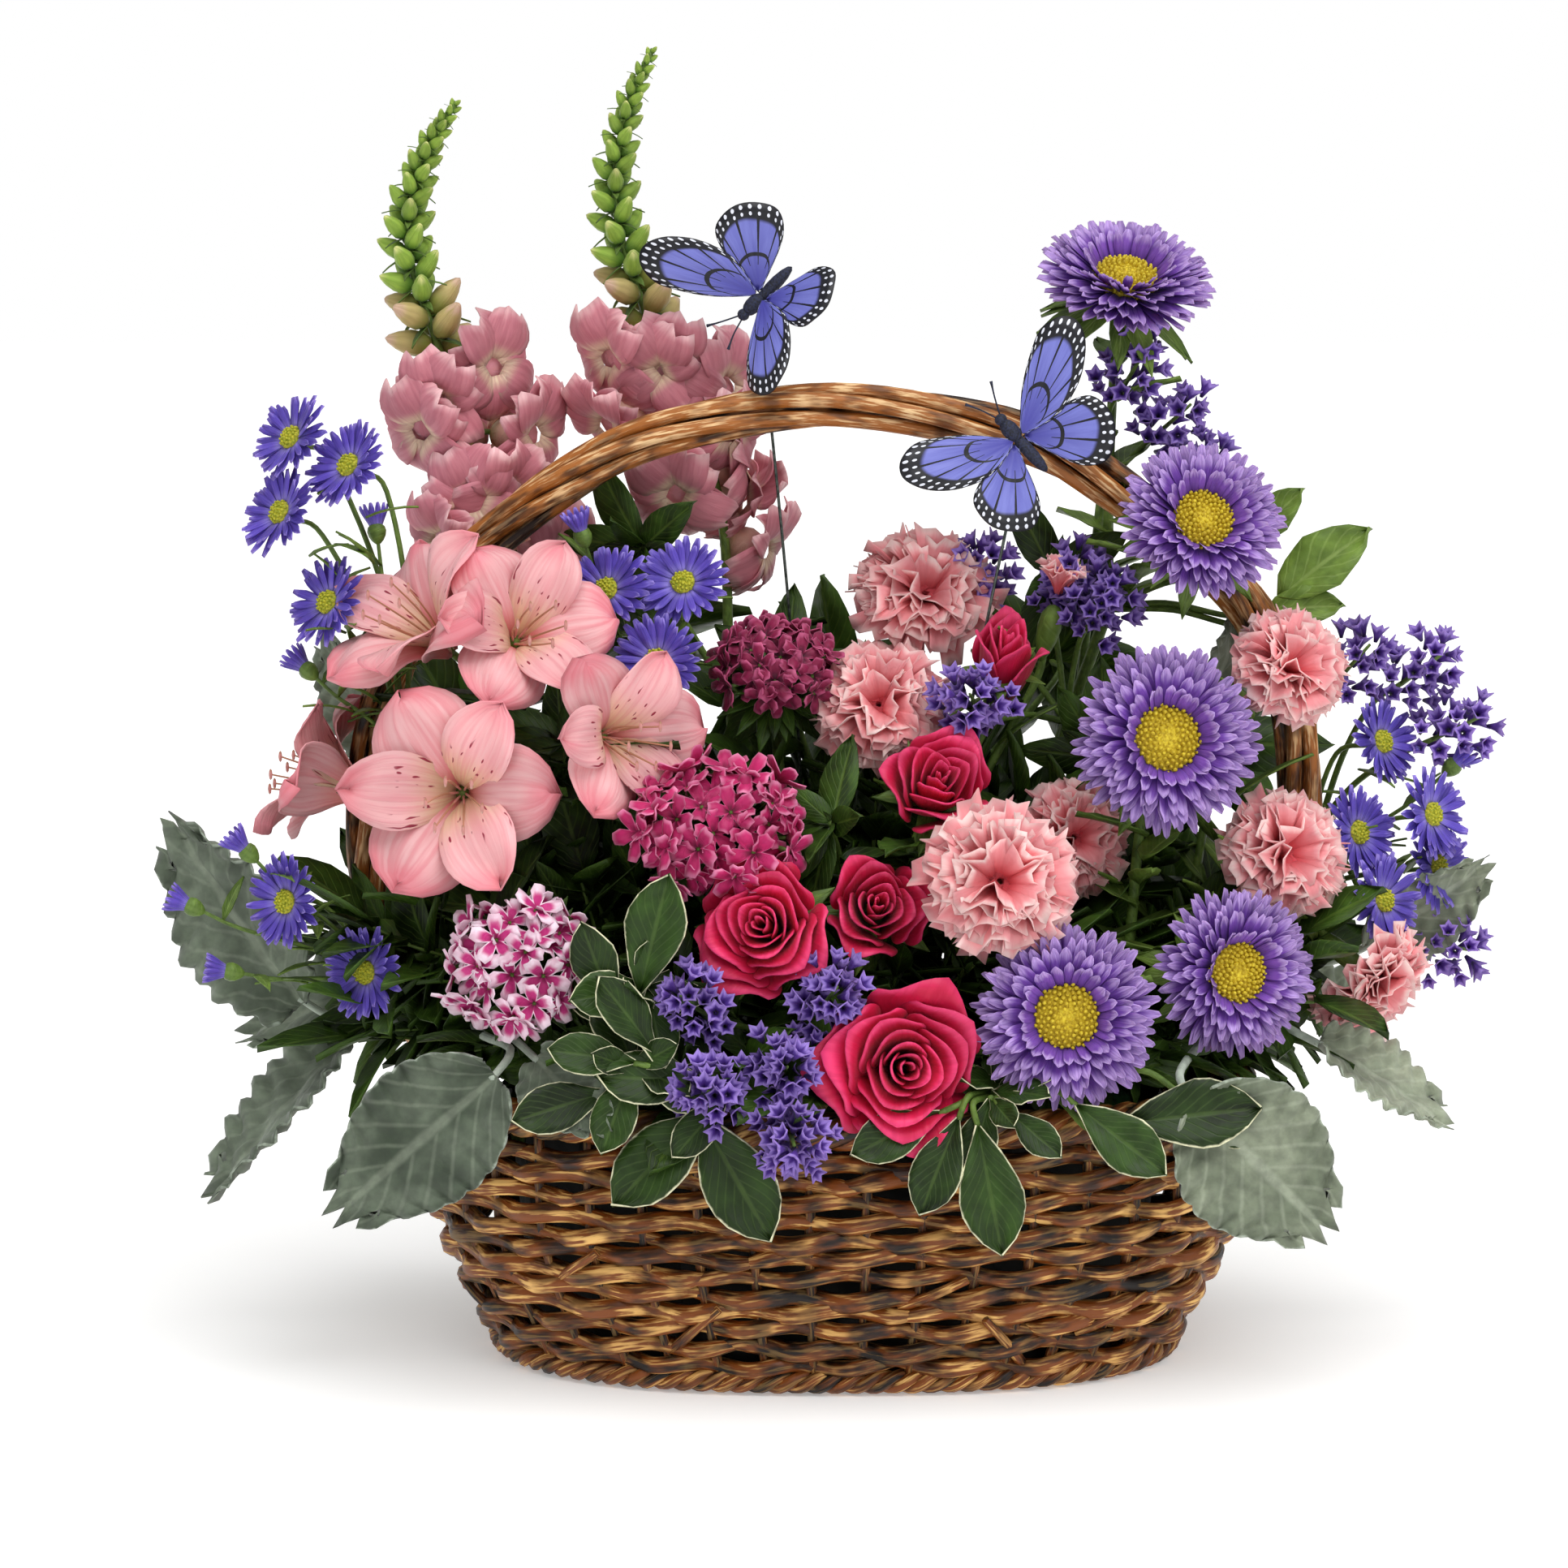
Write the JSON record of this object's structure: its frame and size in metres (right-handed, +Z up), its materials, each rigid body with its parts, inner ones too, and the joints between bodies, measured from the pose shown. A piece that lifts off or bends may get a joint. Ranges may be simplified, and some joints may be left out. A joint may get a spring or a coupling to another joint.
{
  "type": "flower basket arrangement",
  "caption": "Mixed bouquet of roses, carnations, asters, lilies and spikes in an oblong woven willow basket with an arched twisted handle and two butterfly picks.",
  "frame": {"origin": "centre of the basket's underside, where the arrangement rests", "axes": "+Z up, +X to the right as seen from the front along the basket's long side, the front of the bouquet faces -Y"},
  "size_m": [0.4209, 0.226, 0.414],
  "materials": {
    "willow": "woven brown willow, satin varnish",
    "handle_willow": "twisted brown willow rods, satin varnish",
    "willow_base": "dark woven willow base",
    "liner": "thin dark green waterproof film",
    "foam": "wet green floral foam, porous and matte",
    "aster_petal": "matte violet ray petals",
    "aster_disc": "yellow disc of fine florets",
    "rose_petal": "velvety hot pink petals",
    "carnation_petal": "ruffled pale pink petals",
    "alstroemeria_petal": "smooth salmon pink petals",
    "snapdragon": "dusty pink florets and green buds on a green spike",
    "small_aster": "blue violet rays on thin green stems",
    "sweet_william": "magenta florets with pale edges",
    "statice": "dry papery violet florets",
    "stem": "smooth green stems",
    "dusty_miller_leaf": "felted grey green leaves",
    "pittosporum_leaf": "glossy dark green leaves with cream edges",
    "green_leaf": "satin dark green leaves",
    "butterfly_wing": "matte periwinkle wings with black margins"
  },
  "bodies": {
    "root": {"basket_wall": "willow", "basket_floor": "willow_base", "basket_handle": "handle_willow", "basket_rim": "willow", "basket_liner": "liner", "floral_foam": "foam", "carnation_1": "carnation_petal", "carnation_2": "carnation_petal", "carnation_3": "carnation_petal", "carnation_4": "carnation_petal", "carnation_5": "carnation_petal", "carnation_6": "carnation_petal", "carnation_7": "carnation_petal", "rose_1": "rose_petal", "rose_2": "rose_petal", "rose_3": "rose_petal", "rose_4": "rose_petal", "rose_5": "rose_petal", "aster_disc_1": "aster_disc", "aster_head_1": "aster_petal", "aster_disc_2": "aster_disc", "aster_head_2": "aster_petal", "aster_disc_3": "aster_disc", "aster_head_3": "aster_petal", "aster_disc_4": "aster_disc", "aster_head_4": "aster_petal", "aster_disc_5": "aster_disc", "aster_head_5": "aster_petal", "alstroemeria_1": "alstroemeria_petal", "alstroemeria_2": "alstroemeria_petal", "alstroemeria_3": "alstroemeria_petal", "alstroemeria_4": "alstroemeria_petal", "alstroemeria_5": "alstroemeria_petal", "aster_stem_high": "stem", "aster_stem_low": "stem", "rose_stem": "stem", "carnation_stem_left": "stem", "carnation_stem_right": "stem", "alstroemeria_stem": "stem", "snapdragon_1": "snapdragon", "snapdragon_2": "snapdragon", "daisy_spray_1": "small_aster", "daisy_spray_2": "small_aster", "daisy_spray_3": "small_aster", "daisy_spray_4": "small_aster", "sweet_william_1": "sweet_william", "sweet_william_2": "sweet_william", "sweet_william_3": "sweet_william", "statice_1": "statice", "statice_2": "statice", "statice_3": "statice", "statice_4": "statice", "butterfly_1": "butterfly_wing", "butterfly_2": "butterfly_wing", "dusty_miller_left": "dusty_miller_leaf", "dusty_miller_right": "dusty_miller_leaf", "pittosporum_left": "pittosporum_leaf", "pittosporum_right": "pittosporum_leaf", "greens_front": "green_leaf", "greens_back": "green_leaf"}
  },
  "joints": []
}
